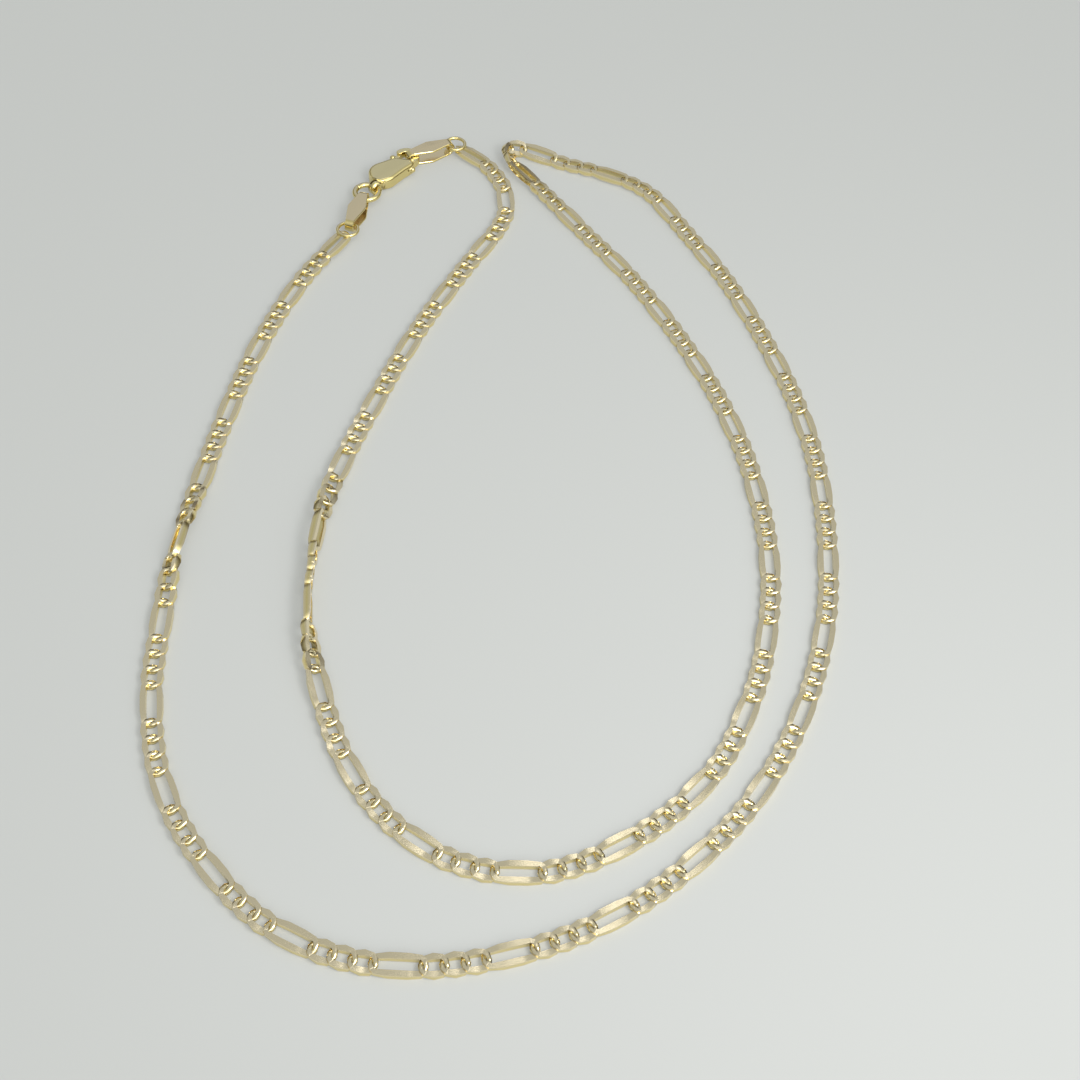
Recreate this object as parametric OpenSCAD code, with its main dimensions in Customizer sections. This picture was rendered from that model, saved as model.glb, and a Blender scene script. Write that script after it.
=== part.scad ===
// Figaro chain: a fastened 56 cm necklace of flat curb links, three short links after each long one,
// lying in a double loop with its lobster clasp closed on the end tag. Millimetres, +Z up.

/* [Chain] */
// Width of the flat chain
chain_w = 2.25; // [2.1:0.05:2.4]
// Thickness of the flattened links
chain_t = 1.4; // [1.3:0.05:1.6]
// Wire diameter of a link
wire_d = 0.6; // [0.54:0.02:0.62]
// Pitch of a long link, between the joints at its two ends
long_pitch = 4.6; // [4.2:0.1:5.6]
// Pitch of a short link, between the joints at its two ends
short_pitch = 1.95; // [1.9:0.05:2.2]
// Short links between two long ones
short_count = 3; // [3:2:5]
// Play between two linked wires along the chain
link_play = 0.22; // [0.18:0.01:0.26]
// Angle that a link leans out of the flat, one way and the next the other, so that the links lie side by side
link_lean = 38; // [36:1:41]

/* [Rings] */
// Outer diameter of the small ring at each end of the chain
end_ring_d = 3.2; // [3.1:0.1:3.4]
// Wire diameter of the small end rings
end_ring_wire = 0.6; // [0.5:0.05:0.65]
// Outer diameter of the clasp's jump ring
jump_ring_d = 3.9; // [3.7:0.1:4.6]
// Wire diameter of the jump ring
jump_ring_wire = 0.75; // [0.6:0.05:0.8]

/* [Tags] */
// Length of an end tag
tag_len = 7.1; // [6.2:0.1:8]
// Width of an end tag at its middle
tag_w = 2.6; // [2.2:0.1:3.2]
// Width of an end tag at its two bends
tag_end_w = 1.2; // [1:0.1:1.4]
// Thickness of a tag's sheet
tag_sheet = 0.28; // [0.2:0.02:0.3]
// Play between a tag's bend and what it hangs on
tag_play = 0.16; // [0.15:0.01:0.25]

/* [Clasp] */
// Thickness of the clasp's body, and height of the tags
clasp_t = 1.9; // [1.8:0.05:2.2]
// Radius of the body's round back
back_r = 2; // [1.8:0.05:2.2]
// Radius of the body's round front
front_r = 1.6; // [1.5:0.05:1.7]
// Distance between the middles of the body's back and front
body_span = 2.2; // [2:0.1:2.6]
// Radius of the hook's opening
hook_in = 0.95; // [0.9:0.05:1.1]
// Width of the hook's band
hook_band = 0.8; // [0.7:0.05:0.9]
// Gap over and under the hook's band inside the tag that it holds
hook_gap = 0.145; // [0.13:0.005:0.2]
// Outer diameter of the eye behind the body
eye_d = 1.9; // [1.8:0.05:2]
// Bore of the eye
eye_bore = 1.15; // [1.1:0.05:1.2]
// Width of the eye
eye_w = 0.9; // [0.7:0.05:1]
// Width of the lever's arm
lever_w = 0.56; // [0.5:0.02:0.64]
// Thickness of the lever
lever_t = 0.55; // [0.45:0.05:0.6]
// Diameter of the lever's pin
pin_d = 0.5; // [0.4:0.05:0.6]
// Diameter of the lever's thumb ball
thumb_d = 0.84; // [0.7:0.02:0.9]
// Diameter of the small stud on the back of the neck
stud_d = 0.8; // [0.6:0.05:0.9]
// Angle that the lever swings into the hook
swing = 18; // [14:1:19]

/* [Hidden] */
$fn = 48;

// Places that the strand runs through, from its start at the first end ring to just before the second.
// Columns: x, y, and the roll of the flat chain there, 0 where it lies flat and 90 where it stands on edge.
ROUTE = [
    [-24.6, 39.6, 25], [-29, 30.5, 0], [-32.5, 18, 0], [-34.5, 4.5, 8], [-35.3, -4, 20], [-35.8, -10, 50],
    [-36.1, -14.5, 60], [-36, -20, 21], [-35.8, -24, 14], [-35, -33, 0], [-32, -43, 0], [-26.5, -51, 0],
    [-18.5, -57.7, 0], [-8.5, -60.5, 0], [2.5, -59, 0], [12.5, -54.5, 0], [20.5, -48, 0], [27, -40, 0],
    [32, -30, 0], [35, -19, 0], [36, -8, 0], [35.5, 4.5, 0], [33.5, 15, 0], [30, 25.5, 0],
    [25.5, 36, 0], [20, 45.5, 0], [15.5, 52.5, 0], [10, 56, 0], [3.8, 57.8, -16], [-1.4, 59.8, -45],
    [-2.1, 60, -42], [-4.1, 60, -50], [-4.4, 58.4, -51], [-3.9, 56.6, -50], [-1.3, 54, -15], [6.5, 44, 0],
    [13, 35.5, 0], [19, 25.5, 0], [24, 15, 0], [27.5, 4, 0], [29.3, -8, 0], [29, -18, 0],
    [27, -28, 0], [22.5, -38, 0], [14.5, -46, 0], [5, -50.3, 0], [-5, -48.5, 0], [-13, -41.3, 0],
    [-18, -31, 30], [-20.5, -22, 73], [-21, -16, 75], [-21, -9, 60], [-20, -1, 15], [-17.5, 9, 3],
    [-13.5, 22.5, 0], [-8.5, 35, 0], [-4.5, 44, 0], [-4, 50, 0], [-7, 56, 10]];
// Directions over the ground in which the fastened end pieces follow each other
TAG_A_DIR = 79;
CLASP_DIR = 48;
TAG_B_DIR = 31;
CHAIN_END_DIR = 146;
// Height of the small end rings over the clasp's middle height, and the slack of the long link in each
RING_RISE = 0.12;
RING_SLACK = 0.15;
// Roll of the flat chain where its last long link is held
END_ROLL = 25;
// Middle of the whole necklace over the ground, and the lowest point of its links
CENTRE = [-0.12, -0.13, -0.065];
// Clearance beside the lever and round its hub
LEVER_PLAY = 0.1;
// Clearance of the lever's bore round its pin
PIN_PLAY = 0.05;
// Clearance of the hook's square edges from the round inside of a tag's bend
BEND_PLAY = 0.12;
// Where the body's back stands beside the eye, and the front and hook beside the back
BACK_SIDE = 1.15;
FRONT_SIDE = -0.1;
HOOK_SIDE = 0.75;
// Angles round the hook's middle at which its band leaves the neck and ends at its tip
HOOK_ROOT = -155;
HOOK_TIP = 95;

// A point at a distance from another in a direction over the ground
function along(p, dir, d) = [p[0] + d * cos(dir), p[1] + d * sin(dir)];
function turned(p, at, dir) = [at[0] + p[0] * cos(dir) - p[1] * sin(dir), at[1] + p[0] * sin(dir) + p[1] * cos(dir)];
function heading(a, b) = atan2(b[1] - a[1], b[0] - a[0]);

// Middle height of the clasp, the tags and the rings between them
mid_z = clasp_t / 2;

// How far from a hole's middle the straight bend of a tag comes to lie against its rim
function chord_reach(hole_r) = sqrt(pow(hole_r, 2) - pow(tag_end_w / 2, 2));

// The end pieces from the first end ring on, each hung on the one before
end_ring_r = (end_ring_d - end_ring_wire) / 2;
jump_r = (jump_ring_d - jump_ring_wire) / 2;
ring_reach = end_ring_r - (end_ring_wire + link_play) / 2 - RING_SLACK;
ring_a_at = along(ROUTE[0], heading(ROUTE[1], ROUTE[0]), ring_reach);
tag_a_at = along(ring_a_at, TAG_A_DIR, chord_reach(end_ring_r - end_ring_wire / 2) - tag_play - tag_sheet);
jump_at = along(tag_a_at, TAG_A_DIR, tag_len - tag_sheet - tag_play + chord_reach(jump_r - jump_ring_wire / 2));
eye_at = along(jump_at, CLASP_DIR, jump_r);

// Places in the clasp's own frame, +X from its eye toward its nose and +Y toward its mouth
back_at = [back_r + eye_bore / 2 - 0.18, BACK_SIDE];
front_at = back_at + [body_span, FRONT_SIDE];
hook_at = front_at + [front_r + hook_in + 0.05, HOOK_SIDE];
neck_at = front_at + [1.5, -0.7];
neck_r = 0.85;
band_r = hook_in + hook_band / 2;
tip_at = hook_at + band_r * [cos(HOOK_TIP), sin(HOOK_TIP)];
pivot_at = front_at + [-0.7, 0.7];
arm_end = tip_at + (hook_band / 2 + lever_w / 2 + 0.12) * [cos(212), sin(212)];
arm_dir = heading(pivot_at, arm_end);
arm_len = norm(arm_end - pivot_at);
hub_r = pin_d / 2 + PIN_PLAY + 0.3;

// The second tag's bend sits in the hook, and its far end holds the second end ring
tag_in = clasp_t / 2 - tag_sheet;
hook_t = 2 * (tag_in - hook_gap);
bend_depth = tag_in - sqrt(pow(tag_in - BEND_PLAY, 2) - pow(hook_t / 2, 2));
tag_b_at = along(turned(hook_at, eye_at, CLASP_DIR), TAG_B_DIR, chord_reach(hook_in) - bend_depth - tag_sheet);
ring_b_at = along(tag_b_at, TAG_B_DIR,
    tag_len - tag_sheet - tag_play + chord_reach(end_ring_r - end_ring_wire / 2));
chain_end = along(ring_b_at, CHAIN_END_DIR, -ring_reach);
POINTS = concat(ROUTE, [[chain_end[0], chain_end[1], END_ROLL]]);

// Steps that the smooth curve takes from one place of the route to the next
CURVE_STEPS = 12;

// One column value of the smooth curve through the route, t of the way from place i to the next
function place(i, c) = POINTS[max(0, min(len(POINTS) - 1, i))][c];
function between(i, t, c) =
    let (a = place(i - 1, c), b = place(i, c), d = place(i + 1, c), e = place(i + 2, c))
    b + t / 2 * (d - a + t * (2 * a - 5 * b + 4 * d - e + t * (3 * (b - d) + e - a)));

CURVE = concat(
    [for (i = [0 : len(POINTS) - 2], k = [0 : CURVE_STEPS - 1])
        let (t = k / CURVE_STEPS)
        [between(i, t, 0), between(i, t, 1), place(i, 2) + t * (place(i + 1, 2) - place(i, 2))]],
    [POINTS[len(POINTS) - 1]]);

// Running length along the curve, as [length, value] pairs for each column
function lengths(i = 0, run = 0) =
    i == len(CURVE) - 1 ? [run]
    : concat([run], lengths(i + 1, run + norm([for (c = [0, 1]) CURVE[i + 1][c] - CURVE[i][c]])));
RUN = lengths();
route_len = RUN[len(RUN) - 1];
BY_LENGTH = [for (c = [0 : 2]) [for (i = [0 : len(CURVE) - 1]) [RUN[i], CURVE[i][c]]]];

// How far the wire's centre line stands from the middle of a link's round end
bow_r = (chain_w - wire_d) / 2 / cos(link_lean);

// Height of a rolled link's middle over the surface that its lowest edge rests on
function rest_height(roll) =
    let (side = bow_r * cos(link_lean), rise = bow_r * sin(link_lean), s = abs(sin(roll)), c = abs(cos(roll)))
    rise + wire_d / 2 * c > chain_t / 2
    ? (side + sqrt(pow(wire_d / 2, 2) - pow(max(0, chain_t / 2 - rise), 2))) * s + chain_t / 2 * c
    : side * s + rise * c + wire_d / 2;

// The pattern of pitches along the chain: each unit is a long link and its short ones, and a long link ends it
unit_len = long_pitch + short_count * short_pitch;
unit_count = round((route_len - long_pitch) / unit_len);
PITCH = [for (u = [0 : unit_count], k = [0 : u < unit_count ? short_count : 0])
    k == 0 ? long_pitch : short_pitch];
link_count = len(PITCH);
chain_len = unit_count * unit_len + long_pitch;

// Joints between the links, as lengths along the route, which shares out what the pattern leaves over
function joints(i = 0, run = 0) =
    i == link_count ? [run] : concat([run], joints(i + 1, run + PITCH[i] * route_len / chain_len));
JOINT = joints();
function roll_at(s) = lookup(s, BY_LENGTH[2]);

// Where the chain turns sharply it is rolled until every second link stands upright: the others then hinge
// on the upright wires, so each joint moves along the chain toward the link that lies flat
function hinge(i) =
    JOINT[i] + (wire_d + link_play) / 2 * sin(2 * roll_at(JOINT[i])) * (i % 2 == 1 ? 1 : -1);
function joint_place(i) =
    [lookup(hinge(i), BY_LENGTH[0]), lookup(hinge(i), BY_LENGTH[1]), rest_height(roll_at(JOINT[i]))];

// A ring of round wire lying flat about its middle, long along +X by its straight sides
module wire_ring(bow, wire, half_side) {
    for (turn = [0, 180])
        rotate([0, 0, turn]) {
            translate([half_side, 0, 0]) rotate([0, 0, -90])
                rotate_extrude(angle = 180) translate([bow, 0]) circle(d = wire);
            if (half_side > 0)
                translate([-half_side, bow, 0]) rotate([0, 90, 0]) cylinder(d = wire, h = 2 * half_side);
        }
}

// A link lies along +X about its middle, leaned out of the flat and cut flat above and below
module link(pitch, lean) {
    intersection() {
        rotate([lean, 0, 0]) wire_ring(bow_r, wire_d, (pitch + wire_d + link_play) / 2 - bow_r);
        cube([2 * pitch + 4 * wire_d, 2 * chain_w, chain_t], center = true);
    }
}

// The links from one number up to another, each along the chord between its two joints
module strand(first, last) {
    for (i = [first : last]) {
        a = joint_place(i);
        b = joint_place(i + 1);
        d = b - a;
        translate((a + b) / 2)
            rotate([0, -atan2(d[2], norm([d[0], d[1]])), atan2(d[1], d[0])])
            rotate([roll_at((JOINT[i] + JOINT[i + 1]) / 2), 0, 0])
            link(PITCH[i], i % 2 == 0 ? link_lean : -link_lean);
    }
}

// A tag is one strip of sheet folded into a long loop, widest at its middle, from its first bend along +X
module tag() {
    intersection() {
        rotate([90, 0, 0])
            linear_extrude(2 * tag_w, center = true)
            difference() {
                stadium(tag_len, clasp_t / 2);
                translate([tag_sheet, 0]) stadium(tag_len - 2 * tag_sheet, clasp_t / 2 - tag_sheet);
            }
        linear_extrude(2 * clasp_t, center = true)
            polygon([[-1, -tag_end_w / 2], [tag_end_w / 2, -tag_end_w / 2], [tag_len / 2, -tag_w / 2],
                [tag_len - tag_end_w / 2, -tag_end_w / 2], [tag_len + 1, -tag_end_w / 2],
                [tag_len + 1, tag_end_w / 2], [tag_len - tag_end_w / 2, tag_end_w / 2], [tag_len / 2, tag_w / 2],
                [tag_end_w / 2, tag_end_w / 2], [-1, tag_end_w / 2]]);
    }
}

// A flat outline with two round ends, from the origin along +X
module stadium(length, r) {
    translate([r, 0]) circle(r);
    translate([length - r, 0]) circle(r);
    translate([r, -r]) square([length - 2 * r, 2 * r]);
}

// The straight-sided piece between two round discs, out to their common tangents
module web(a, ra, b, rb) {
    dir = heading(a, b);
    open = acos((ra - rb) / norm(b - a));
    polygon([a + ra * [cos(dir - open), sin(dir - open)], b + rb * [cos(dir - open), sin(dir - open)],
        b + rb * [cos(dir + open), sin(dir + open)], a + ra * [cos(dir + open), sin(dir + open)]]);
}

// Outline of the clasp's body, with its round back and front and the neck that carries the hook
module body_outline() {
    difference() {
        union() {
            translate(back_at) circle(back_r);
            translate(front_at) circle(front_r);
            translate(neck_at) circle(neck_r);
            web(back_at, back_r, front_at, front_r);
            web(front_at, front_r, neck_at, neck_r);
        }
        translate(hook_at) circle(hook_in);
    }
}

// The slot that the lever lies and swings in, open on the mouth side
module lever_slot() {
    low = lever_w / 2 + LEVER_PLAY;
    translate(pivot_at) {
        circle(hub_r + LEVER_PLAY);
        rotate(arm_dir - swing - 1) polygon([[0, -low], [arm_len + 1, -low], [arm_len + 1, 2 * front_r],
            [-hub_r - LEVER_PLAY, 2 * back_r], [-hub_r - LEVER_PLAY, 0]]);
    }
}

// Sets a piece down at its place over the ground and turns it there, with the whole necklace about the origin
module set_down(at, height, dir) {
    translate([at[0] - CENTRE[0], at[1] - CENTRE[1], height - CENTRE[2]]) rotate([0, 0, dir]) children();
}

module chain_outer() { color("palegoldenrod") set_down([0, 0], 0, 0) strand(0, floor(link_count / 2)); }

module chain_inner() {
    color("palegoldenrod") set_down([0, 0], 0, 0) strand(floor(link_count / 2) + 1, link_count - 1);
}

module end_ring(at, dir) {
    color("khaki") set_down(at, mid_z + RING_RISE, dir) wire_ring(end_ring_r, end_ring_wire, 0);
}

module end_ring_a() { end_ring(ring_a_at, heading(ROUTE[0], ROUTE[1])); }

module end_ring_b() { end_ring(ring_b_at, CHAIN_END_DIR); }

module tag_a() {
    color("wheat") set_down(tag_a_at, mid_z, TAG_A_DIR) tag();
}

module tag_b() {
    color("wheat") set_down(tag_b_at, mid_z, TAG_B_DIR) tag();
}

module jump_ring() {
    color("khaki") set_down(jump_at, mid_z, CLASP_DIR) wire_ring(jump_r, jump_ring_wire, 0);
}

module clasp_body() {
    color("darkkhaki")
        set_down(eye_at, mid_z, CLASP_DIR)
        difference() {
            union() {
                difference() {
                    linear_extrude(clasp_t, center = true) body_outline();
                    linear_extrude(lever_t + 2 * LEVER_PLAY, center = true) lever_slot();
                }
                translate(pivot_at) cylinder(d = pin_d, h = clasp_t - 0.2, center = true);
                linear_extrude(hook_t, center = true) {
                    intersection() {
                        difference() {
                            translate(hook_at) circle(hook_in + hook_band);
                            translate(hook_at) circle(hook_in);
                        }
                        translate(hook_at) polygon(concat([[0, 0]],
                            [for (a = [HOOK_ROOT : (HOOK_TIP - HOOK_ROOT) / 5 : HOOK_TIP + 0.1])
                                4 * hook_in * [cos(a), sin(a)]]));
                    }
                    translate(tip_at) circle(hook_band / 2);
                }
                rotate([90, 0, 0]) cylinder(d = eye_d, h = eye_w, center = true);
                translate([eye_bore / 2, -eye_w / 2, -hook_t / 2]) cube([0.9, eye_w, hook_t]);
                translate([neck_at[0] + 0.1, neck_at[1] - neck_r, 0]) sphere(d = stud_d);
            }
            rotate([90, 0, 0]) cylinder(d = eye_bore, h = eye_w + 1, center = true);
        }
}

// The lever at rest closes the hook: a hub round the pin, the arm to the hook's tip and the thumb ball
module clasp_lever() {
    color("gold")
        set_down(eye_at, mid_z, CLASP_DIR)
        translate(pivot_at)
        difference() {
            union() {
                cylinder(r = hub_r, h = lever_t, center = true);
                rotate([0, 0, arm_dir]) {
                    linear_extrude(lever_t, center = true) {
                        translate([0, -lever_w / 2]) square([arm_len, lever_w]);
                        translate([arm_len, 0]) circle(lever_w / 2);
                    }
                    translate([0.87 * arm_len, lever_w / 2 + 0.38 * thumb_d, 0]) sphere(d = thumb_d);
                }
            }
            cylinder(d = pin_d + 2 * PIN_PLAY, h = clasp_t, center = true);
        }
}

chain_outer();
chain_inner();
end_ring_a();
tag_a();
jump_ring();
clasp_body();
clasp_lever();
tag_b();
end_ring_b();
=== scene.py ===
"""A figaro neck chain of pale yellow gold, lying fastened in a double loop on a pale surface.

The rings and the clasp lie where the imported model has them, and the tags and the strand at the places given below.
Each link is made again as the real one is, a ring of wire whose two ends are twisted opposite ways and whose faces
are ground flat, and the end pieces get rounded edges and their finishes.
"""
import logging
import math
from dataclasses import dataclass, field
from enum import Enum

import bmesh
import bpy
import numpy as np
from mathutils import Euler, Matrix, Vector


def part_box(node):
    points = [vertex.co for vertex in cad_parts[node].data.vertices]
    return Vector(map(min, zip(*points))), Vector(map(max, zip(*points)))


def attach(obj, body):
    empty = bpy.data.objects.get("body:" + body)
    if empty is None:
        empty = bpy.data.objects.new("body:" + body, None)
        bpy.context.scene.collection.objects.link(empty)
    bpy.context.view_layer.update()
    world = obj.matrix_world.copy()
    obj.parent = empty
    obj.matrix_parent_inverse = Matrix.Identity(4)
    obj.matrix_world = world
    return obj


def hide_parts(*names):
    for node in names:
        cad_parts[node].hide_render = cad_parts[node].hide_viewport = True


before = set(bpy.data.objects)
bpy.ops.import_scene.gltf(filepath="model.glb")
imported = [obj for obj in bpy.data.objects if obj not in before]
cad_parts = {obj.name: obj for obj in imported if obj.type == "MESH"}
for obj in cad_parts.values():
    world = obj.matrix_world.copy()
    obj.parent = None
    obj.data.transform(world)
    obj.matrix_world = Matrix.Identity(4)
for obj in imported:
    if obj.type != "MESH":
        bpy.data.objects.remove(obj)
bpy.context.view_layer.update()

LOG = logging.getLogger("figaro_chain")
MM = 0.001
BODY = "necklace"
LEVER = "lever"
# Middle of the whole necklace over the ground and its lowest point, in the route's own millimetres
CENTRE = Vector((-0.12, -0.13, -0.065))

Sockets = dict[str, bpy.types.NodeSocket]


class LinkKind(Enum):
    """The two lengths of link, in the order in which the strand picks them."""

    SHORT = 0
    LONG = 1


class Slot(Enum):
    """The record's finishes."""

    CHAIN = "chain_gold"
    RING = "ring_gold"
    TAG = "tag_gold"
    CLASP = "clasp_gold"


def to_world(point: Vector | tuple[float, float, float]) -> Vector:
    """Takes a point from the route's millimetres to metres about the necklace's middle.

    Args:
        point: x, y and height in millimetres.

    Returns:
        The same point in metres.
    """
    return (Vector(point) - CENTRE) * MM


class Tree:
    """A node tree that is written as short calls."""

    COLUMNS = 12
    STEP = (190, -230)

    def __init__(self, tree: bpy.types.NodeTree) -> None:
        """Keeps the tree."""
        self.tree = tree

    def add(self, kind: str, *values: object, **settings: object) -> bpy.types.Node:
        """Adds a node.

        Args:
            kind: the node's type.
            values: what goes into the inputs that it uses, in order: a value, another node's output, or None to
                leave one as it is.
            settings: the node's own settings.

        Returns:
            The node.
        """
        node = self.tree.nodes.new(kind)
        for name, value in settings.items():
            setattr(node, name, value)
        for socket, value in zip([s for s in node.inputs if s.enabled], values):
            self.feed(socket, value)
        return node

    def feed(self, socket: bpy.types.NodeSocket, value: object) -> None:
        """Sets an input to a value, or links another node's output to it.

        Args:
            socket: the input.
            value: a value, another node's output, or None to leave the input as it is.
        """
        if isinstance(value, bpy.types.NodeSocket):
            self.tree.links.new(value, socket)
        elif value is not None:
            socket.default_value = value

    def feed_named(self, node: bpy.types.Node, values: dict[str, object]) -> bpy.types.Node:
        """Feeds a node's inputs by their names.

        Args:
            node: the node.
            values: what goes into each named input.

        Returns:
            The same node.
        """
        for name, value in values.items():
            self.feed(node.inputs[name], value)
        return node

    def math(self, operation: str, *values: object) -> bpy.types.NodeSocket:
        """Adds a sum and returns its result."""
        return self.add("ShaderNodeMath", *values, operation=operation).outputs[0]

    def held(self, value: bpy.types.NodeSocket) -> bpy.types.NodeSocket:
        """Holds a value between minus one and one."""
        return self.math("MAXIMUM", self.math("MINIMUM", value, 1.0), -1.0)

    def ramp(self, value: bpy.types.NodeSocket, low: float, high: float, first: float = 0.0, last: float = 1.0,
             **settings: object) -> bpy.types.NodeSocket:
        """Runs from one value to another while a third goes from low to high, and stays level outside.

        Args:
            value: what is followed.
            low: where the run starts.
            high: where it ends.
            first: the value up to low.
            last: the value from high on.
            settings: the node's own settings.

        Returns:
            The result.
        """
        return self.add("ShaderNodeMapRange", value, low, high, first, last, **settings).outputs[0]

    def mixed(self, share: object, first: object, second: object, **settings: object) -> bpy.types.NodeSocket:
        """Mixes two colours.

        Args:
            share: how much of the second colour there is.
            first: the first colour.
            second: the second colour.
            settings: the node's own settings.

        Returns:
            The mixed colour.
        """
        node = self.add("ShaderNodeMix", data_type="RGBA", **settings)
        return self.feed_named(node, {"Factor": share, "A": first, "B": second}).outputs["Result"]

    def position(self) -> list[bpy.types.NodeSocket]:
        """Gives the place of each point as x, y and z."""
        return list(self.add("ShaderNodeSeparateXYZ", self.add("GeometryNodeInputPosition").outputs[0]).outputs)

    def moved(self, shape: bpy.types.NodeSocket, *place: bpy.types.NodeSocket) -> bpy.types.NodeSocket:
        """Moves each point of a shape to the x, y and z given, and returns the shape."""
        spot = self.add("ShaderNodeCombineXYZ", *place).outputs[0]
        return self.feed_named(self.add("GeometryNodeSetPosition", shape), {"Position": spot}).outputs[0]

    def note(self, shape: bpy.types.NodeSocket, name: str, value: bpy.types.NodeSocket) -> bpy.types.NodeSocket:
        """Keeps a number on each point of a shape under a name, and returns the shape."""
        node = self.add("GeometryNodeStoreNamedAttribute", shape, data_type="FLOAT", domain="POINT")
        return self.feed_named(node, {"Name": name, "Value": value}).outputs[0]

    def noted(self, name: str, kind: str = "FLOAT") -> bpy.types.NodeSocket:
        """Reads what is kept on each point under a name."""
        return self.add("GeometryNodeInputNamedAttribute", name, data_type=kind).outputs[0]

    def lay_out(self) -> None:
        """Sets the nodes side by side so that the tree can be read."""
        across, down = self.STEP
        for i, node in enumerate(self.tree.nodes):
            node.location = (across * (i % self.COLUMNS), down * (i // self.COLUMNS))


def socket_kind(value: object) -> str:
    """Names the kind of input for a value: a number, a finish, or geometry where there is none.

    Args:
        value: the input's value.

    Returns:
        The socket's type.
    """
    kinds = ((int, "NodeSocketInt"), (float, "NodeSocketFloat"), (bpy.types.Material, "NodeSocketMaterial"))
    return next((name for kind, name in kinds if isinstance(value, kind)), "NodeSocketGeometry")


def shape_tree(name: str, values: dict[str, object]) -> tuple[Tree, Sockets]:
    """Starts a tree that makes geometry.

    Args:
        name: the tree's name.
        values: for each named input its value, None for geometry.

    Returns:
        The tree and its inputs by name.
    """
    group = bpy.data.node_groups.new(name, "GeometryNodeTree")
    for label, value in values.items():
        socket = group.interface.new_socket(label, in_out="INPUT", socket_type=socket_kind(value))
        if value is not None:
            socket.default_value = value
    group.interface.new_socket("Geometry", in_out="OUTPUT", socket_type="NodeSocketGeometry")
    tree = Tree(group)
    entry = tree.add("NodeGroupInput")
    return tree, {label: entry.outputs[label] for label in values}


def set_inputs(modifier: bpy.types.Modifier, values: dict[str, object]) -> None:
    """Sets a tree's named inputs on a modifier by the identifiers of their sockets.

    Args:
        modifier: the modifier that runs the tree.
        values: each input's value by its name.
    """
    for item in modifier.node_group.interface.items_tree:
        if item.item_type == "SOCKET" and item.in_out == "INPUT" and item.name in values:
            modifier[item.identifier] = values[item.name]


def put_in_scene(name: str, data: bpy.types.ID) -> bpy.types.Object:
    """Makes an object and links it to the scene.

    Args:
        name: the object's name.
        data: its mesh, lamp or camera.

    Returns:
        The object.
    """
    made = bpy.data.objects.new(name, data)
    bpy.context.scene.collection.objects.link(made)
    return made


def mesh_object(name: str, verts: list[Vector | tuple[float, float, float]],
                faces: list[tuple[int, ...]]) -> bpy.types.Object:
    """Makes an object from points and faces.

    Args:
        name: the object's name.
        verts: the points in metres.
        faces: the numbers of each face's points.

    Returns:
        The object, linked to the scene.
    """
    mesh = bpy.data.meshes.new(name)
    mesh.from_pydata([tuple(v) for v in verts], [], faces)
    mesh.update()
    return put_in_scene(name, mesh)


def bake(made: bpy.types.Object) -> bpy.types.Object:
    """Turns an object with modifiers into a plain mesh.

    Args:
        made: the object.

    Returns:
        The same object, its modifiers applied and removed.
    """
    bpy.context.view_layer.update()
    seen = made.evaluated_get(bpy.context.evaluated_depsgraph_get())
    mesh = bpy.data.meshes.new_from_object(seen)
    old = made.data
    made.modifiers.clear()
    made.data = mesh
    mesh.name = made.name
    bpy.data.meshes.remove(old)
    return made


def turn_outwards(made: bpy.types.Object) -> None:
    """Points all faces of a closed mesh outwards and shades them smooth.

    Args:
        made: the object.
    """
    b = bmesh.new()
    b.from_mesh(made.data)
    bmesh.ops.recalc_face_normals(b, faces=b.faces)
    b.to_mesh(made.data)
    b.free()
    made.data.shade_smooth()


def loop_mesh(name: str, rings: list[list[Vector]]) -> bpy.types.Object:
    """Joins rings of points into a tube that closes on itself.

    Args:
        name: the object's name.
        rings: equally many points in each ring.

    Returns:
        The object, with its faces pointing outwards.
    """
    count, n = len(rings), len(rings[0])
    faces = [(i * n + j, i * n + (j + 1) % n, (i + 1) % count * n + (j + 1) % n, (i + 1) % count * n + j)
             for i in range(count) for j in range(n)]
    made = mesh_object(name, [v for ring in rings for v in ring], faces)
    turn_outwards(made)
    return made


def settle(made: bpy.types.Object, body: str, slot: Slot, *nodes: str) -> bpy.types.Object:
    """Ties a finished piece to its body and hides the solids that it stands for.

    Args:
        made: the piece.
        body: the body that it rides on.
        slot: the record's finish; not used.
        nodes: the CAD nodes that it replaces.

    Returns:
        The same piece.
    """
    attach(made, body)
    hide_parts(*nodes)
    LOG.info("%s: %d faces for %s", made.name, len(made.data.polygons), ", ".join(nodes))
    return made


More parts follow.
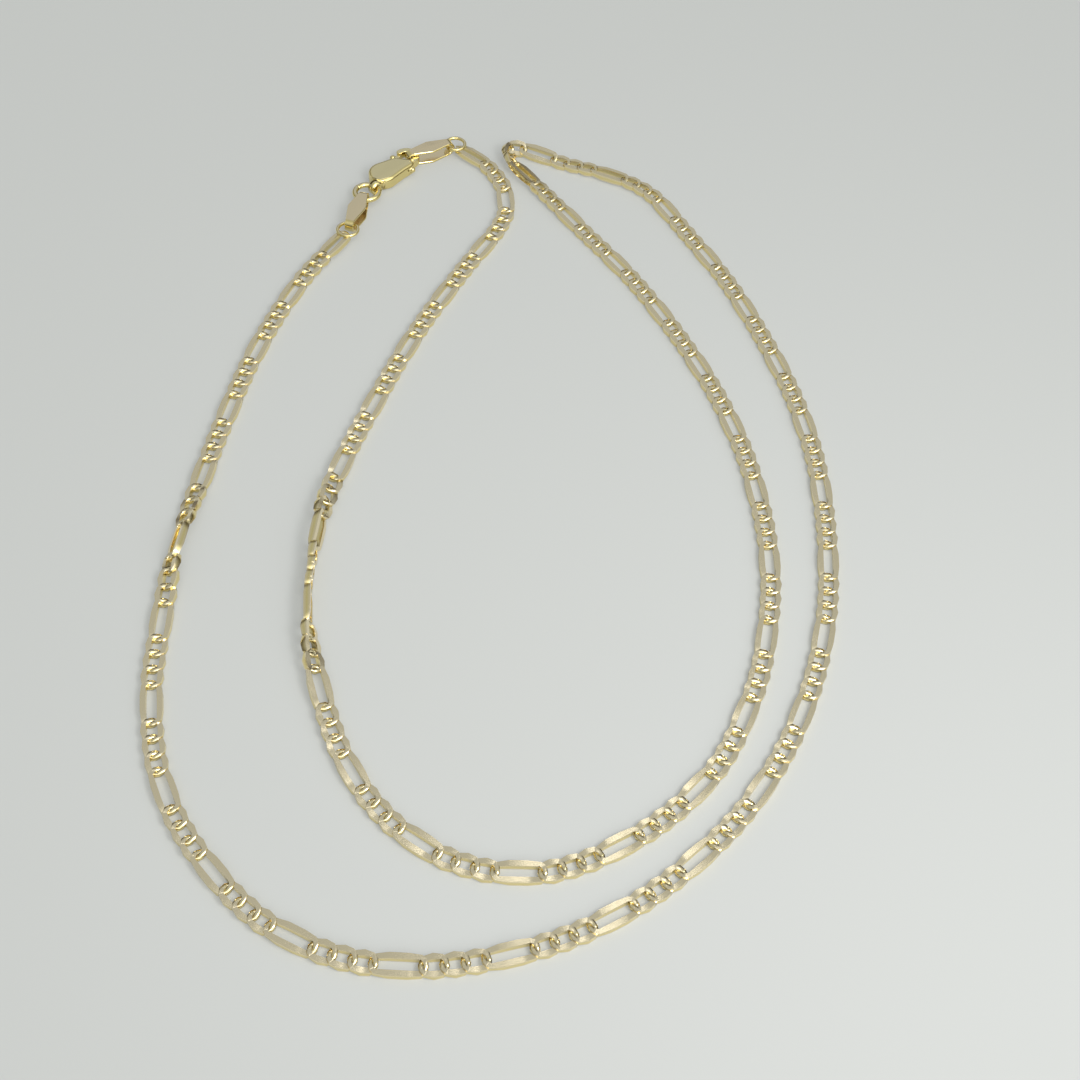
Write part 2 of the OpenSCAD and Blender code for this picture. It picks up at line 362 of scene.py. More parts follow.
@dataclass(frozen=True)
class GoldFinish:
    """Pale yellow gold, satin on its cut flats and polished on its rounds."""

    name: str
    flat: tuple[float, float, float] = (0.885, 0.775, 0.535)
    deep: tuple[float, float, float] = (0.83, 0.70, 0.32)
    flat_rough: float = 0.2
    round_rough: float = 0.12
    # Whether the piece's own "cut" attribute says what is flat; if not, how level a face is says it
    by_cut: bool = True
    level_span: tuple[float, float] = (0.9, 0.985)
    # The grains: waves per metre, how many sets of waves follow the first, and how much stronger (gain) and how many
    # times finer (step, under one if broader) each set is than the one before
    grain: float = 5.0
    octaves: float = 15.0
    step: float = 2.0
    tone_gain: float = 3.0
    haze_gain: float = 4.0
    haze_step: float = 0.6
    line_gain: float = 2.0
    line_turn: float = 0.6
    line_stretch: tuple[float, float, float] = (0.12, 1.6, 1.0)
    # How far the grains change the colour, the gloss and the surface
    tint: float = 0.5
    tint_spread: tuple[float, float, float] = (0.10, 0.13, 0.22)
    rough_spread: float = 0.12
    scratch: float = 0.12
    scratch_depth: float = 0.00001

    def noise(self, t: Tree, spot: bpy.types.NodeSocket, gain: float, step: float) -> bpy.types.NodeSocket:
        """Adds one grain.

        Args:
            t: the material's tree.
            spot: where on the piece it is read.
            gain: how much stronger each set of waves is than the one before.
            step: how many times finer it is.

        Returns:
            The grain, from 0 to 1.
        """
        return t.feed_named(t.add("ShaderNodeTexNoise"), {
            "Vector": spot, "Scale": self.grain, "Detail": self.octaves, "Roughness": gain, "Lacunarity": step,
        }).outputs[0]

    def flatness(self, t: Tree) -> bpy.types.NodeSocket:
        """Tells the cut flats, at 1, from the rounds, at 0.

        Args:
            t: the material's tree.

        Returns:
            The share of the flats' finish.
        """
        if self.by_cut:
            return t.add("ShaderNodeAttribute", attribute_name="cut").outputs["Fac"]
        up = t.add("ShaderNodeSeparateXYZ", t.add("ShaderNodeNewGeometry").outputs["Normal"]).outputs[2]
        return t.ramp(t.math("ABSOLUTE", up), *self.level_span)

    def material(self) -> bpy.types.Material:
        """Builds the material.

        Returns:
            Polished gold whose cut flats are paler and rougher, with a grain too fine to be seen singly.
        """
        made = bpy.data.materials.new(self.name)
        made.use_nodes = True
        made.node_tree.nodes.clear()
        t = Tree(made.node_tree)
        spot = t.add("ShaderNodeTexCoord").outputs["Object"]
        tone = self.noise(t, spot, self.tone_gain, self.step)
        haze = self.noise(t, spot, self.haze_gain, self.haze_step)
        drawn = t.add("ShaderNodeMapping", spot, None, (0, 0, self.line_turn), self.line_stretch).outputs[0]
        lines = self.noise(t, drawn, self.line_gain, self.step)
        cut = self.flatness(t)
        shade = t.mixed(cut, (*self.deep, 1), (*self.flat, 1))
        tint = t.add("ShaderNodeCombineColor",
                     *[t.math("MULTIPLY_ADD", tone, spread, 1 - spread * 0.5) for spread in self.tint_spread])
        worn = t.mixed(self.tint, shade, tint.outputs[0], blend_type="MULTIPLY")
        rough = t.math("MULTIPLY_ADD", cut, self.flat_rough - self.round_rough, self.round_rough)
        rough = t.math("ADD", rough, t.math("MULTIPLY_ADD", haze, self.rough_spread, -self.rough_spread / 2))
        bump = t.feed_named(t.add("ShaderNodeBump", self.scratch, self.scratch_depth),
                            {"Height": t.math("ADD", lines, haze)})
        gold = t.feed_named(t.add("ShaderNodeBsdfPrincipled"), {
            "Base Color": worn, "Metallic": 1.0, "Roughness": rough, "Normal": bump.outputs[0]})
        t.add("ShaderNodeOutputMaterial", gold.outputs[0])
        t.lay_out()
        return made


@dataclass
class Route:
    """The line over the ground that the strand follows, with the roll of the flat chain along it."""

    places: list[tuple[float, float, float]]
    steps: int = 12

    def curve(self) -> np.ndarray:
        """Runs a smooth curve through the places.

        Returns:
            Rows of x, y and roll, with even shares between two places.
        """
        p = np.array(self.places, float)
        rows = []
        for i in range(len(p) - 1):
            a, b, d, e = p[max(0, i - 1)], p[i], p[i + 1], p[min(len(p) - 1, i + 2)]
            for k in range(self.steps):
                t = k / self.steps
                at = b + t / 2 * (d - a + t * (2 * a - 5 * b + 4 * d - e + t * (3 * (b - d) + e - a)))
                rows.append([at[0], at[1], b[2] + t * (d[2] - b[2])])
        return np.array(rows + [list(p[-1])])


@dataclass(frozen=True)
class Placing:
    """Where one link lies, in the route's millimetres."""

    middle: Vector
    turn: Euler
    kind: LinkKind


@dataclass
class FigaroStrand:
    """The strand of links, three short ones after each long one, in millimetres and degrees."""

    route: Route
    width: float = 2.4
    # Between the two ground flats
    thickness: float = 0.76
    # The wire's height before it is ground, and its breadth seen from above
    wire: float = 0.96
    band: float = 0.66
    # Half of the stretch that keeps the full wire, and the shares by which it grows slimmer and lower to the ends
    level: float = 0.3
    slimmer: float = 0.28
    lower: float = 0.3
    # How boxy the wire's section is, and how high on it the ground face starts
    boxy: float = 1.8
    face_from: float = 0.5
    # The twist: how far the sides rise and sink, how soon across the link, and from where to where along its bow
    lift: float = 0.19
    steep: float = 1.8
    twist_span: tuple[float, float] = (0.3, 0.8)
    # How soon the bow turns into the straight side
    square: float = 2.5
    # The share of the flats' finish at a link's ends, and how far across the link it has grown to the whole
    end_cut: float = 0.45
    cut_span: float = 0.4
    # Edges that turn by more than this are crisp, where the wire is ground by more than this share
    crisp: float = 40.0
    fully_cut: float = 0.9
    long_pitch: float = 4.6
    short_pitch: float = 1.95
    short_count: int = 3
    play: float = 0.06
    # Points round a short link, round a long one, and round the wire
    around: int = 12
    around_long: int = 18
    sides: int = 6
    # How far each link is rocked about its own line, by chance
    swing: float = 1.6
    seed: int = 7
    # How much lower than half its width the line runs where the chain stands on edge, the least space under a link,
    # how far its outer edge is rounded, and the step between the points of that edge that are tried
    sink: float = 0.04
    clear: float = 0.02
    rounded: float = 0.02
    corner_step: int = 30
    pitches: list[float] = field(init=False)
    joints: np.ndarray = field(init=False)

    def __post_init__(self) -> None:
        """Shares the pattern of pitches out along the route."""
        rows = self.route.curve()
        run = np.concatenate([[0], np.cumsum(np.linalg.norm(np.diff(rows[:, :2], axis=0), axis=1))])
        unit = self.long_pitch + self.short_count * self.short_pitch
        units = round((run[-1] - self.long_pitch) / unit)
        self.pitches = ([self.long_pitch] + [self.short_pitch] * self.short_count) * units + [self.long_pitch]
        self.joints = np.concatenate([[0], np.cumsum(self.pitches)]) * run[-1] / sum(self.pitches)
        self._rows, self._run = rows, run

    def at(self, length: float) -> tuple[Vector, float]:
        """Finds a place along the route.

        Args:
            length: the running length in millimetres.

        Returns:
            The place with its height, and the roll there in radians.
        """
        x, y, roll = (float(np.interp(length, self._run, self._rows[:, c])) for c in range(3))
        roll = math.radians(roll)
        height = (self.width / 2 - self.sink) * abs(math.sin(roll)) + self.thickness / 2 * abs(math.cos(roll))
        return Vector((x, y, height + CENTRE.z)), roll

    def reach(self) -> float:
        """Half of the way from one end's wire to the other's where two links hold each other."""
        return (self.band * (1 - self.slimmer) + self.play) / 2

    def corners(self, pitch: float) -> list[Vector]:
        """Points on the outer edge of a link.

        Args:
            pitch: the link's pitch.

        Returns:
            Points above and below all the way round, about the link's middle.
        """
        edge = self.width / 2 - self.rounded
        straight = pitch / 2 + self.reach() + self.band / 2 - self.width / 2
        spots = np.radians(np.arange(0, 360, self.corner_step))
        return [Vector((math.copysign(straight, math.cos(a)) + edge * math.cos(a), edge * math.sin(a), z))
                for a in spots for z in (-self.thickness / 2, self.thickness / 2)]

    def placings(self) -> list[Placing]:
        """Sets each link between its two joints.

        Returns:
            Where each link lies, in order along the strand.
        """
        reach = self.reach()
        out = []
        for i, pitch in enumerate(self.pitches):
            mid_roll = self.at((self.joints[i] + self.joints[i + 1]) / 2)[1]
            a, b = (self.at(joint + reach * math.sin(2 * self.at(joint)[1]))[0] for joint in self.joints[i:i + 2])
            d = b - a
            mid = (a + b) / 2 - d.normalized() * reach * math.sin(2 * mid_roll)
            turn = (Euler((0, 0, math.atan2(d.y, d.x))).to_matrix()
                    @ Euler((0, -math.atan2(d.z, math.hypot(d.x, d.y)), 0)).to_matrix()
                    @ Euler((mid_roll, 0, 0)).to_matrix())
            lowest = min((turn @ corner).z for corner in self.corners(pitch))
            mid.z = max(mid.z, CENTRE.z + self.clear - lowest)
            kind = LinkKind.LONG if pitch == self.long_pitch else LinkKind.SHORT
            out.append(Placing(mid, turn.to_euler(), kind))
        return out

    def wire_sizes(self) -> dict[str, float]:
        """Gives the sizes that links of both lengths share.

        Returns:
            Each size in metres, or as a share, by the name of its input.
        """
        return {"Bow": (self.width - self.band) / 2 * MM, "Wire": self.wire * MM, "Band": self.band * MM,
                "Thickness": self.thickness * MM, "Lift": self.lift * MM, "Slimmer": self.slimmer,
                "Lower": self.lower}

    def strand_sizes(self) -> dict[str, float]:
        """Gives the sizes of a whole strand.

        Returns:
            Each size in metres or radians, or as a share, by the name of its input.
        """
        short, long = ((pitch / 2 + self.reach()) * MM for pitch in (self.short_pitch, self.long_pitch))
        return {"Half Short": short, "Half Long": long, "Level": self.level * MM, **self.wire_sizes(),
                "Swing": math.radians(self.swing)}

    def centre_line(self, t: Tree, size: Sockets) -> bpy.types.NodeSocket:
        """Bends a circle into the line that a link's wire follows.

        Args:
            t: the link's tree.
            size: its inputs.

        Returns:
            The line, which notes its own height and how flat the wire is ground there.
        """
        ring = t.add("GeometryNodeCurvePrimitiveCircle", size["Around"], size["Bow"], mode="RADIUS").outputs[0]
        x, y, _ = t.position()
        end, side = (t.math("DIVIDE", way, size["Bow"]) for way in (x, y))
        straight = t.math("SUBTRACT", size["Half Length"], size["Bow"])
        along = t.math("MULTIPLY", t.held(t.math("MULTIPLY", end, self.square)), straight)
        lean = t.math("MULTIPLY", t.held(t.math("MULTIPLY", side, self.steep)), size["Lift"])
        near_end = t.ramp(t.math("ABSOLUTE", end), *self.twist_span)
        raised = t.math("MULTIPLY", t.math("MULTIPLY", lean, near_end), t.math("SIGN", end))
        cut = t.ramp(t.math("ABSOLUTE", side), 0.0, self.cut_span, self.end_cut, 1.0)
        noted = t.note(t.note(ring, "cut", cut), "middle", raised)
        line = t.moved(noted, t.math("ADD", x, along), y, raised)
        return t.add("GeometryNodeSetCurveNormal", line, mode="Z_UP").outputs[0]

    def section(self, t: Tree, size: Sockets) -> bpy.types.NodeSocket:
        """Draws the wire's section.

        Args:
            t: the link's tree.
            size: its inputs.

        Returns:
            The section, which notes its upper and lower faces.
        """
        circle = t.add("GeometryNodeCurvePrimitiveCircle", size["Sides"], 1.0, mode="RADIUS").outputs[0]
        broad = t.math("MULTIPLY", size["Band"], 0.5)
        slope = t.math("DIVIDE", math.pi, size["Sides"])
        tall = t.math("DIVIDE", t.math("MULTIPLY", size["Wire"], 0.5), t.math("COSINE", slope))
        x, y, _ = t.position()
        face = t.note(circle, "face", t.math("GREATER_THAN", t.math("ABSOLUTE", y), self.face_from))
        boxed = t.held(t.math("MULTIPLY", x, self.boxy))
        return t.moved(face, t.math("MULTIPLY", boxed, broad), t.math("MULTIPLY", y, tall))

    def link_tree(self) -> bpy.types.NodeTree:
        """Makes one link: a ring of wire, its ends twisted opposite ways, ground flat above and below.

        Returns:
            The tree that makes it, with its sizes as inputs.
        """
        given = self.strand_sizes()
        t, size = shape_tree("twisted_link", {
            "Half Length": given["Half Short"], "Level": given["Level"], **self.wire_sizes(),
            "Around": self.around, "Sides": self.sides})
        x, y, z = t.position()
        past = t.math("MAXIMUM", t.math("SUBTRACT", t.math("ABSOLUTE", x), size["Level"]), 0.0)
        share = t.math("DIVIDE", past, t.math("SUBTRACT", size["Half Length"], size["Level"]))
        slim = t.math("SUBTRACT", 1.0, t.math("MULTIPLY", share, size["Slimmer"]))
        drawn = t.add("GeometryNodeCurveToMesh", self.centre_line(t, size), self.section(t, size))
        wire = t.feed_named(drawn, {"Scale": slim}).outputs[0]
        marked = t.note(wire, "cut", t.math("MULTIPLY", t.noted("cut"), t.noted("face")))
        # The ends sink towards the wire's own middle, and whatever stands above or below the flats is ground off
        low = t.math("SUBTRACT", 1.0, t.math("MULTIPLY", t.held(share), size["Lower"]))
        middle = t.noted("middle")
        tall = t.math("MULTIPLY_ADD", t.math("SUBTRACT", z, middle), low, middle)
        half = t.math("MULTIPLY", size["Thickness"], 0.5)
        level = t.math("MAXIMUM", t.math("MINIMUM", tall, half), t.math("MULTIPLY", half, -1.0))
        smooth = t.add("GeometryNodeSetShadeSmooth", t.moved(marked, x, y, level), domain="FACE").outputs[0]
        angle = t.add("GeometryNodeInputMeshEdgeAngle").outputs[0]
        rim = t.math("MULTIPLY", t.math("GREATER_THAN", angle, math.radians(self.crisp)),
                     t.math("GREATER_THAN", t.noted("cut"), self.fully_cut))
        crisp = t.add("GeometryNodeSetShadeSmooth", smooth, rim, False, domain="EDGE")
        t.add("NodeGroupOutput", crisp.outputs[0])
        t.lay_out()
        return t.tree

    def rocked(self, t: Tree, size: Sockets) -> bpy.types.NodeSocket:
        """Turns each link as its point says, and rocks it a little about its own line.

        Args:
            t: the strand's tree.
            size: its inputs.

        Returns:
            The turn.
        """
        least = t.math("MULTIPLY", size["Swing"], -1.0)
        loose = t.add("FunctionNodeRandomValue", least, size["Swing"], None, size["Seed"], data_type="FLOAT")
        given = next(socket for socket in loose.outputs if socket.enabled)
        about = t.add("ShaderNodeCombineXYZ", given).outputs[0]
        own, rock = (t.add("FunctionNodeEulerToRotation", turn).outputs[0]
                     for turn in (t.noted("turn", "FLOAT_VECTOR"), about))
        return t.add("FunctionNodeRotateRotation", own, rock, rotation_space="LOCAL").outputs[0]

    def strand_tree(self, gold: bpy.types.Material) -> bpy.types.NodeTree:
        """Sets a link on each point of a strand, turned as the point says.

        Args:
            gold: the links' finish.

        Returns:
            The tree, with the links' sizes as inputs.
        """
        t, size = shape_tree("figaro_strand", {
            "Geometry": None, **self.strand_sizes(), "Seed": self.seed, "Gold": gold})
        form = self.link_tree()
        shared = {label: size[label] for label in self.wire_sizes()}
        longer = t.math("SUBTRACT", size["Half Long"], size["Half Short"])
        both = t.add("GeometryNodeJoinGeometry")
        # The one that is joined last comes first in the choice, as LinkKind counts them
        for half, level, around in (
                (size["Half Long"], t.math("ADD", size["Level"], longer), self.around_long),
                (size["Half Short"], size["Level"], self.around)):
            link = t.feed_named(t.add("GeometryNodeGroup", node_tree=form), {
                "Half Length": half, "Level": level, "Around": around, "Sides": self.sides, **shared})
            t.feed(both.inputs[0], t.add("GeometryNodeGeometryToInstance", link.outputs[0]).outputs[0])
        laid = t.feed_named(t.add("GeometryNodeInstanceOnPoints"), {
            "Points": size["Geometry"], "Instance": both.outputs[0], "Pick Instance": True,
            "Instance Index": t.noted("kind", "INT"), "Rotation": self.rocked(t, size)})
        real = t.add("GeometryNodeRealizeInstances", laid.outputs[0])
        dressed = t.feed_named(t.add("GeometryNodeSetMaterial", real.outputs[0]), {"Material": size["Gold"]})
        t.add("NodeGroupOutput", dressed.outputs[0])
        t.lay_out()
        return t.tree

    def build(self, name: str, first: int, last: int, gold: bpy.types.Material) -> bpy.types.Object:
        """Builds the links from one number up to another.

        Args:
            name: the CAD node that they stand for.
            first: the first link's number.
            last: the last link's number.
            gold: their finish.

        Returns:
            The links as one plain mesh.
        """
        placed = self.placings()[first:last + 1]
        made = mesh_object(f"{name}_links", [to_world(link.middle) for link in placed], [])
        for label, kind, key, rows in (
                ("turn", "FLOAT_VECTOR", "vector", [part for link in placed for part in link.turn]),
                ("kind", "INT", "value", [link.kind.value for link in placed])):
            made.data.attributes.new(label, kind, "POINT").data.foreach_set(key, rows)
        modifier = made.modifiers.new("strand", "NODES")
        modifier.node_group = self.strand_tree(gold)
        set_inputs(modifier, {**self.strand_sizes(), "Seed": self.seed, "Gold": gold})
        return settle(bake(made), BODY, Slot.CHAIN, name)


@dataclass
class WireRing:
    """A ring of round wire with the fine line where it was closed, in millimetres and degrees."""

    node: str
    outer: float
    wire: float
    seam: float
    around: int = 72
    section: int = 20
    # The line, in radians round the ring: where the full wire stops, half the line's own width, and its wire
    seam_edge: float = 0.012
    seam_half: float = 0.004
    seam_share: float = 0.93

    def build(self, gold: bpy.types.Material) -> bpy.types.Object:
        """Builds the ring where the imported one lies.

        Args:
            gold: its finish.

        Returns:
            The ring.
        """
        low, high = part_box(self.node)
        middle = (low + high) / 2
        radius = (self.outer - self.wire) / 2 * MM
        turn = 2 * math.pi
        spots = [(spot, 1.0) for spot in np.linspace(self.seam_edge, turn - self.seam_edge, self.around)]
        spots += [(turn + offset, self.seam_share) for offset in (-self.seam_half, self.seam_half)]
        rings = []
        for spot, share in spots:
            a = spot + math.radians(self.seam)
            half = self.wire / 2 * MM * share
            out = Vector((math.cos(a), math.sin(a), 0))
            rings.append([middle + out * (radius + half * math.cos(b)) + Vector((0, 0, half * math.sin(b)))
                          for b in np.linspace(0, turn, self.section, endpoint=False)])
        made = loop_mesh(f"{self.node}_wire", rings)
        made.data.materials.append(gold)
        return settle(made, BODY, Slot.RING, self.node)


@dataclass
class FoldedTag:
    """An end tag: one strip of sheet folded into a long loop, widest at its middle, in millimetres and degrees."""

    node: str
    start: tuple[float, float]
    direction: float
    height: float
    length: float = 7.1
    wide: float = 2.45
    narrow: float = 1.2
    sheet: float = 0.28
    lift: float = 0.95
    # How far the strip's edges are broken, and how far its upper leaf is crowned
    edge: float = 0.07
    crown: float = 0.15
    bend_steps: int = 19
    side_steps: int = 22
    # The lines along the strip, counted round its section, where the shading breaks
    crisp: frozenset[int] = frozenset((2, 3, 4, 7, 8, 9))

    def half_width(self, x: float) -> float:
        """Half the strip's width at a distance from the first bend."""
        share = min(1.0, max(0.0, min(x, self.length - x) - self.narrow / 2) / (self.length / 2 - self.narrow / 2))
        return (self.narrow + (self.wide - self.narrow) * share) / 2

    def path(self) -> list[tuple[float, float]]:
        """Follows the strip once round the loop.

        Returns:
            For each step the centre that it turns about, along the tag, and the way out from there in radians.
        """
        r = self.height / 2
        straight = np.linspace(self.length - r, r, self.side_steps)[1:-1]
        path = [(self.length - r, math.radians(a)) for a in np.linspace(-90, 90, self.bend_steps)]
        path += [(x, math.pi / 2) for x in straight]
        path += [(r, math.radians(a)) for a in np.linspace(90, 270, self.bend_steps)]
        return path + [(x, 1.5 * math.pi) for x in straight[::-1]]

    def section(self) -> list[tuple[int, float, float]]:
        """Draws the strip's section.

        Returns:
            For each point its side, its depth under the outer face and how far in from the side it lies.
        """
        e, sheet = self.edge, self.sheet
        return [(1, e, 0), (1, sheet - e, 0), (1, sheet, e), (0, sheet, 0), (-1, sheet, e), (-1, sheet - e, 0),
                (-1, e, 0), (-1, 0, e), (0, 0, 0), (1, 0, e)]

    def build(self, gold: bpy.types.Material) -> bpy.types.Object:
        """Builds the tag.

        Args:
            gold: its finish.

        Returns:
            The tag.
        """
        r, section = self.height / 2, self.section()
        turn = Matrix.Rotation(math.radians(self.direction), 4, "Z")
        base = to_world((*self.start, self.lift))
        rings = []
        for centre, a in self.path():
            half = self.half_width(centre + r * math.cos(a))
            rise = self.crown * (half * 2 - self.narrow) / (self.wide - self.narrow) if math.sin(a) > 0 else 0
            ring = []
            for side, depth, inset in section:
                reach = r - depth + (0 if side else rise)
                spot = Vector((centre + reach * math.cos(a), side * (half - inset), reach * math.sin(a)))
                ring.append(base + (turn @ spot) * MM)
            rings.append(ring)
        made = loop_mesh(f"{self.node}_strip", rings)
        for line in made.data.edges:
            spots = {v % len(section) for v in line.vertices}
            if len(spots) == 1 and spots <= self.crisp:
                line.use_edge_sharp = True
        made.data.materials.append(gold)
        return settle(made, BODY, Slot.TAG, self.node)


@dataclass
class RoundedCopy:
    """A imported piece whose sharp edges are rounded, in millimetres and degrees."""

    node: str
    body: str
    radius: float
    # The share of the rounding that edges inside the outline take
    inner_share: float = 1.0
    # A neighbour near which the rounding fades out, and from what distance to what distance it comes back
    calm: str = ""
    calm_reach: float = 2.3
    calm_fade: float = 1.0
    segments: int = 4
    angle: float = 40.0
    # Points closer than this are one, and faces that meet at less than this angle are one
    weld: float = 0.004
    plane_angle: float = 1.0
    # Level edges by their height from the middle, 0, to the top or bottom, 1: rims, and shelves below them
    rim_from: float = 0.97
    shelf_from: float = 0.5
    shelf_share: float = 0.2
    level_slack: float = 0.01

    def share(self, first: float, second: float) -> float:
        """Finds the share of the rounding that an edge takes for its place.

        Args:
            first: the height of one end, from the middle, 0, to the top or bottom, 1.
            second: the height of the other end.

        Returns:
            The share.
        """
        if abs(first - second) >= self.level_slack or first <= self.shelf_from:
            return self.inner_share
        return 1.0 if first > self.rim_from else self.shelf_share

    def weigh(self, b: bmesh.types.BMesh) -> None:
        """Gives each sharp edge its share of the rounding.

        Args:
            b: the merged piece.
        """
        weight = b.edges.layers.float.new("bevel_weight_edge")
        heights = [v.co.z for v in b.verts]
        low, high = min(heights), max(heights)
        quiet = sum(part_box(self.calm), Vector()) / 2 if self.calm else None
        for edge in b.edges:
            if not edge.is_manifold or edge.calc_face_angle() <= math.radians(self.angle):
                continue
            share = self.share(*(abs(v.co.z - (low + high) / 2) * 2 / (high - low) for v in edge.verts))
            if quiet is not None:
                away = ((edge.verts[0].co + edge.verts[1].co) / 2 - quiet).to_2d().length / MM
                share = min(share, max(self.inner_share, (away - self.calm_reach) / self.calm_fade))
            edge[weight] = share

    def build(self, gold: bpy.types.Material) -> bpy.types.Object:
        """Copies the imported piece, merges it and rounds its edges.

        Args:
            gold: its finish.

        Returns:
            The rounded piece.
        """
        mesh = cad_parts[self.node].data.copy()
        made = put_in_scene(f"{self.node}_rounded", mesh)
        b = bmesh.new()
        b.from_mesh(mesh)
        bmesh.ops.remove_doubles(b, verts=b.verts, dist=self.weld * MM)
        bmesh.ops.dissolve_limit(b, angle_limit=math.radians(self.plane_angle), verts=b.verts, edges=b.edges)
        self.weigh(b)
        b.to_mesh(mesh)
        b.free()
        rounding = made.modifiers.new("rounding", "BEVEL")
        rounding.width = self.radius * MM
        rounding.segments = self.segments
        rounding.limit_method = "WEIGHT"
        rounding.use_clamp_overlap = False
        bake(made)
        turn_outwards(made)
        made.data.materials.clear()
        made.data.materials.append(gold)
        return settle(made, self.body, Slot.CLASP, self.node)


@dataclass(frozen=True)
class SoftLamp:
    """A square soft light that faces the necklace, in metres and watts."""

    name: str
    place: tuple[float, float, float]
    size: float
    power: float

    def hang(self) -> None:
        """Hangs the lamp."""
        data = bpy.data.lights.new(self.name, "AREA")
        data.size, data.energy = self.size, self.power
        made = put_in_scene(self.name, data)
        made.location = self.place
        made.rotation_euler = Vector(self.place).to_track_quat("Z", "Y").to_euler()


@dataclass(frozen=True)
class Studio:
    """The pale surface, the soft light and the camera."""

    # The camera's place, lens and sensor in millimetres, its turn in degrees, and what it sees in metres
    eye: tuple[float, float, float] = (3.77, -121.71, 139.445)
    tilt: float = 39.03
    roll: float = 3.97
    lens: float = 53.33
    sensor: float = 36.0
    sight: tuple[float, float] = (0.005, 20.0)
    # The surface: half its side in metres, its colour, gloss and glow
    floor_half: float = 2.0
    floor: tuple[float, float, float] = (0.362, 0.368, 0.36)
    floor_rough: float = 0.7
    glow: tuple[float, float, float] = (0.205, 0.213, 0.208)
    # What the gold mirrors: a bright window in a pale sky over a dim wall, and where each gives way to the next
    sky: tuple[float, float, float] = (0.87, 0.9, 0.9)
    window: tuple[float, float, float] = (3.2, 3.2, 3.05)
    window_way: tuple[float, float, float] = (0.45, -0.6, 0.66)
    window_span: tuple[float, float] = (0.55, 0.92)
    wall: tuple[float, float, float] = (0.15, 0.13, 0.095)
    wall_span: tuple[float, float] = (0.1, 0.4)
    backdrop: tuple[float, float, float] = (0.96, 0.98, 0.96)
    strength: float = 0.56
    lamps: tuple[SoftLamp, ...] = (SoftLamp("key", (0.08, -0.08, 0.13), 0.06, 0.121),
                                   SoftLamp("card", (0.029, 0.228, 0.53), 0.08, 0.032))

    def camera(self) -> None:
        """Sets the camera where the photograph was taken."""
        data = bpy.data.cameras.new("camera")
        data.lens, data.sensor_width = self.lens, self.sensor
        data.clip_start, data.clip_end = self.sight
        made = put_in_scene("camera", data)
        made.matrix_world = (Matrix.Translation(Vector(self.eye) * MM)
                             @ Matrix.Rotation(math.radians(self.tilt), 4, "X")
                             @ Matrix.Rotation(math.radians(self.roll), 4, "Z"))
        bpy.context.scene.camera = made

    def surface(self) -> None:
        """Lays the pale surface."""
        half = self.floor_half
        made = mesh_object("floor", [(-half, -half, 0), (half, -half, 0), (half, half, 0), (-half, half, 0)],
                           [(0, 1, 2, 3)])
        pale = bpy.data.materials.new("pale_surface")
        pale.use_nodes = True
        Tree(pale.node_tree).feed_named(pale.node_tree.nodes["Principled BSDF"], {
            "Base Color": (*self.floor, 1), "Roughness": self.floor_rough,
            "Emission Color": (*self.glow, 1), "Emission Strength": 1.0})
        made.data.materials.append(pale)

    def light(self) -> None:
        """Lights the scene softly from above, more from the near right, with dim walls round a pale backdrop."""
        world = bpy.data.worlds.new("studio")
        world.use_nodes = True
        world.node_tree.nodes.clear()
        t = Tree(world.node_tree)
        way = t.add("ShaderNodeTexCoord").outputs["Generated"]
        up = t.add("ShaderNodeSeparateXYZ", way).outputs[2]
        facing = t.add("ShaderNodeVectorMath", way, self.window_way, operation="DOT_PRODUCT").outputs["Value"]
        near = t.ramp(facing, *self.window_span, interpolation_type="SMOOTHSTEP")
        over = t.mixed(near, (*self.sky, 1), (*self.window, 1))
        room = t.mixed(t.ramp(up, *self.wall_span), (*self.wall, 1), over)
        shown = t.mixed(t.add("ShaderNodeLightPath").outputs["Is Camera Ray"], room, (*self.backdrop, 1))
        t.add("ShaderNodeOutputWorld", t.add("ShaderNodeBackground", shown, self.strength).outputs[0])
        t.lay_out()
        bpy.context.scene.world = world
        for lamp in self.lamps:
            lamp.hang()

    def build(self) -> None:
        """Builds the camera, the surface and the light."""
        self.camera()
        self.surface()
        self.light()
        bpy.context.scene.view_settings.view_transform = "Standard"


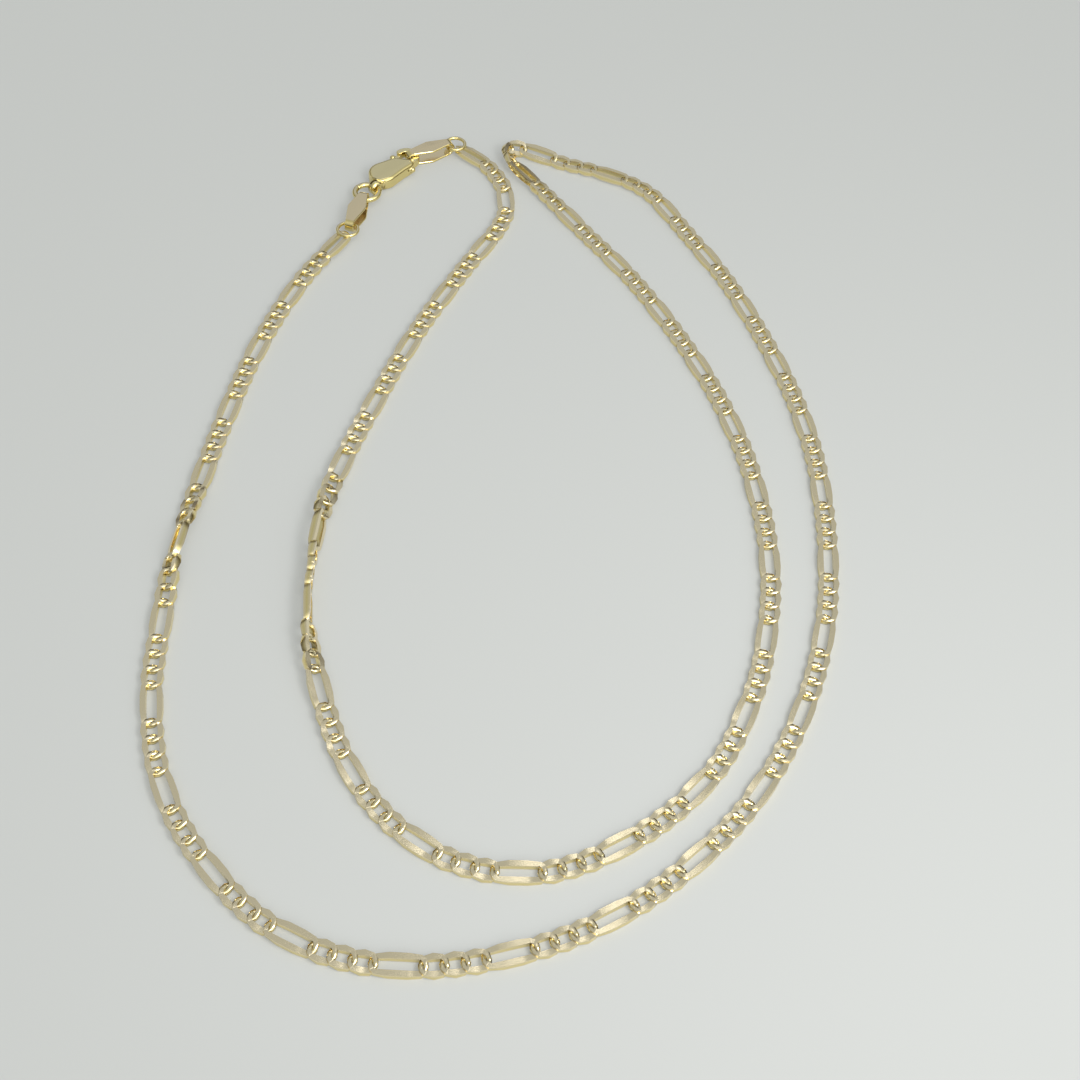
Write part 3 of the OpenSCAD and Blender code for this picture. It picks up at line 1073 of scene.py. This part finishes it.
# Places that the strand runs through, x and y in millimetres and the roll of the flat chain in degrees
PLACES = [
    (-24.6, 39.6, 14), (-29, 30.5, 0), (-32.5, 18, 0), (-34.5, 4.5, 0), (-35.3, -4, 5), (-35.8, -10, 35),
    (-36.1, -14.5, 62), (-36, -20, 8), (-35.8, -24, 0), (-35, -33, 0), (-32, -43, 0), (-26.5, -51, 0),
    (-18.5, -57.7, 0), (-8.5, -60.5, 0), (2.5, -59, 0), (12.5, -54.5, 0), (20.5, -48, 0), (27, -40, 0),
    (32, -30, 0), (35, -19, 0), (36, -8, 0), (35.5, 4.5, 0), (33.5, 15, 0), (30, 25.5, 0),
    (25.5, 36, 0), (20, 45.5, 0), (15.5, 52.5, 3), (10, 56, 7), (3.8, 57.8, 2), (-1.4, 59.8, -18),
    (-2.1, 60, -12), (-4.1, 60, -26), (-4.4, 58.4, -51), (-3.9, 56.6, -50), (-1.3, 54, -15), (6.5, 44, 0),
    (13, 35.5, 0), (19, 25.5, 0), (24, 15, 0), (27.5, 4, 0), (29.3, -8, 0), (29, -18, 0),
    (27, -28, 0), (22.5, -38, 0), (14.5, -46, 0), (5, -50.3, 0), (-5, -48.5, 0), (-13, -41.3, 0),
    (-18, -31, 12), (-20.5, -22, 84), (-21, -16, 95), (-21, -9, 66), (-20, -1, 8), (-17.5, 9, 3),
    (-13.5, 22.5, 0), (-8.5, 35, 0), (-4.5, 44, 0), (-4, 50, 0), (-7, 56, 4), (-11.244, 59.302, 14)]


def main() -> None:
    """Builds the necklace piece by piece, then the studio round it."""
    logging.basicConfig(level=logging.INFO, format="%(message)s")
    chain_gold = GoldFinish("chain_gold").material()
    ring_gold = GoldFinish("ring_gold", round_rough=0.1, by_cut=False).material()
    tag_gold = GoldFinish("tag_gold", flat=(0.92, 0.78, 0.53), by_cut=False).material()
    clasp_gold = GoldFinish("clasp_gold", flat=(0.93, 0.82, 0.49), by_cut=False).material()
    strand = FigaroStrand(Route(PLACES))
    half = len(strand.pitches) // 2
    strand.build("chain_outer", 0, half, chain_gold)
    strand.build("chain_inner", half + 1, len(strand.pitches) - 1, chain_gold)
    WireRing("end_ring_a", outer=3.1, wire=0.46, seam=200).build(ring_gold)
    WireRing("end_ring_b", outer=3.1, wire=0.46, seam=80).build(ring_gold)
    WireRing("jump_ring", outer=3.9, wire=0.75, seam=150).build(ring_gold)
    FoldedTag("tag_a", start=(-24.2092, 40.6196), direction=79, height=1.9).build(tag_gold)
    FoldedTag("tag_b", start=(-18.2519, 55.8737), direction=31, height=1.9).build(tag_gold)
    RoundedCopy("clasp_body", BODY, radius=0.55, inner_share=0.0, calm="jump_ring").build(clasp_gold)
    RoundedCopy("clasp_lever", LEVER, radius=0.06).build(clasp_gold)
    Studio().build()


if __name__ == "__main__":
    main()
